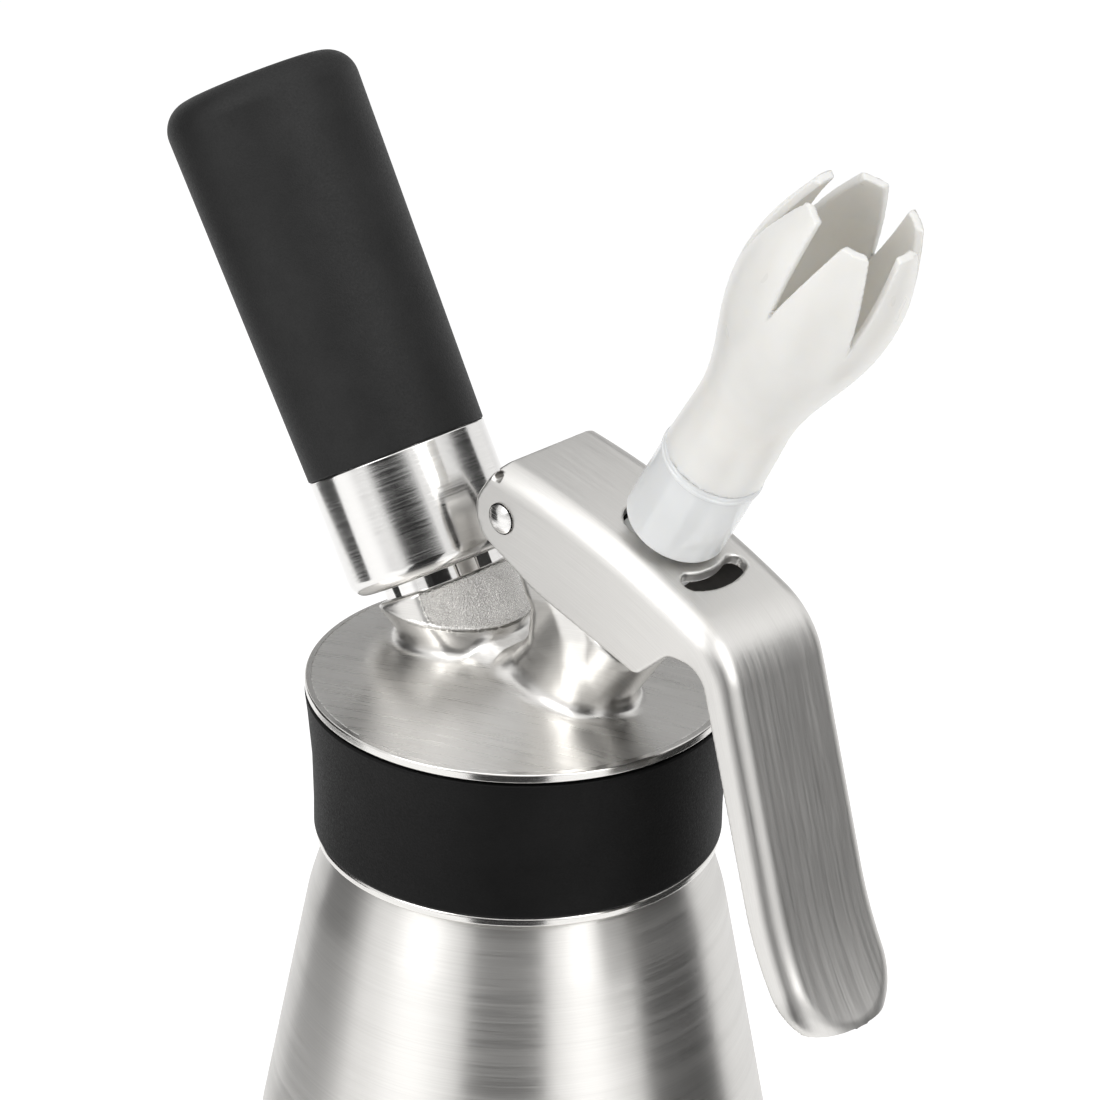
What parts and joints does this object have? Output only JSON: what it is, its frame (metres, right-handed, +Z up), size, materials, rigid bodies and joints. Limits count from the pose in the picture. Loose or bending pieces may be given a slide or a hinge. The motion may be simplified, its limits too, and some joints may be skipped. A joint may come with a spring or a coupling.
{
  "type": "whipped cream dispenser",
  "caption": "Steel bottle with a screw-on head, gas charger holder, hinged squeeze lever and a tulip nozzle for whipping and dispensing cream.",
  "frame": {"origin": "centre of the ring that the bottle stands on, on the bottle's axis", "axes": "+Z up along the bottle's axis; the lever and the nozzle point towards +X and the charger holder leans towards -X; the lever's pin is along Y"},
  "size_m": [0.1491, 0.086, 0.2604],
  "materials": {
    "bottle_steel": "satin, brushed round the axis",
    "cast_steel": "brushed cone, shot-blasted and satin bosses",
    "lever_steel": "brushed along the lever",
    "polished_steel": "mirror polish",
    "turned_steel": "turned",
    "spring_steel": "drawn wire",
    "charger_steel": "plated satin",
    "black_silicone": "matt, fine grain",
    "seal_rubber": "matt",
    "guide_plastic": "natural",
    "white_plastic": "gloss, slightly translucent"
  },
  "bodies": {
    "bottle": {"bottle": "bottle_steel"},
    "head_carrier": {"head_gasket": "seal_rubber"},
    "head": {"head_body": "cast_steel", "head_grip_band": "black_silicone", "pin_holder": "turned_steel", "piercing_pin": "turned_steel", "charger_seal": "seal_rubber", "check_valve": "seal_rubber", "check_valve_retainer": "turned_steel", "valve_guide": "guide_plastic", "return_spring": "spring_steel"},
    "charger": {"gas_charger": "charger_steel"},
    "holder": {"charger_holder": "polished_steel", "charger_holder_sleeve": "black_silicone"},
    "lever": {"lever": "lever_steel", "pivot_pin": "polished_steel"},
    "valve": {"valve_stem": "turned_steel", "valve_seal": "seal_rubber", "stem_o_ring": "seal_rubber", "stem_clip": "spring_steel", "thrust_washer": "guide_plastic", "tip_adapter": "white_plastic"},
    "tip_carrier": {"tip_seal": "seal_rubber"},
    "tip": {"tulip_tip": "white_plastic", "tip_thread_insert": "turned_steel"}
  },
  "joints": [
    {"name": "head_rise", "type": "slide", "parent": "bottle", "child": "head_carrier", "axis": [0, 0, 1], "range_m": [0, 0.006]},
    {"name": "head_turn", "type": "hinge", "parent": "head_carrier", "child": "head", "pos_m": [0, 0, 0.1578], "axis": [0, 0, 1], "range_deg": [0, 545]},
    {"name": "charger_rise", "type": "slide", "parent": "head", "child": "charger", "axis": [-0.5225, 0, 0.8526], "range_m": [0, 0.0075]},
    {"name": "holder_turn", "type": "hinge", "parent": "charger", "child": "holder", "pos_m": [-0.0105, 0, 0.1578], "axis": [-0.5225, 0, 0.8526], "range_deg": [0, 1805]},
    {"name": "lever_press", "type": "hinge", "parent": "head", "child": "lever", "pos_m": [0.0067, 0, 0.1911], "axis": [0, 1, 0], "range_deg": [0, 12.2]},
    {"name": "valve_press", "type": "slide", "parent": "head", "child": "valve", "axis": [-0.503, 0, -0.8643], "range_m": [0, 0.00314], "stiffness_N_per_m": 2500, "springref_m": -0.004, "deforming": ["return_spring"]},
    {"name": "tip_rise", "type": "slide", "parent": "valve", "child": "tip_carrier", "axis": [0.503, 0, 0.8643], "range_m": [0, 0.0072]},
    {"name": "tip_turn", "type": "hinge", "parent": "tip_carrier", "child": "tip", "pos_m": [0.0104, 0, 0.1578], "axis": [0.503, 0, 0.8643], "range_deg": [0, 1445]}
  ],
  "couplings": [
    {"joint": "head_turn", "follows": "head_rise", "rad_per_m": 1570.8},
    {"joint": "holder_turn", "follows": "charger_rise", "rad_per_m": 4188.8},
    {"joint": "lever_press", "follows": "valve_press", "rad_per_m": 66.667},
    {"joint": "tip_turn", "follows": "tip_rise", "rad_per_m": 3490.7}
  ]
}
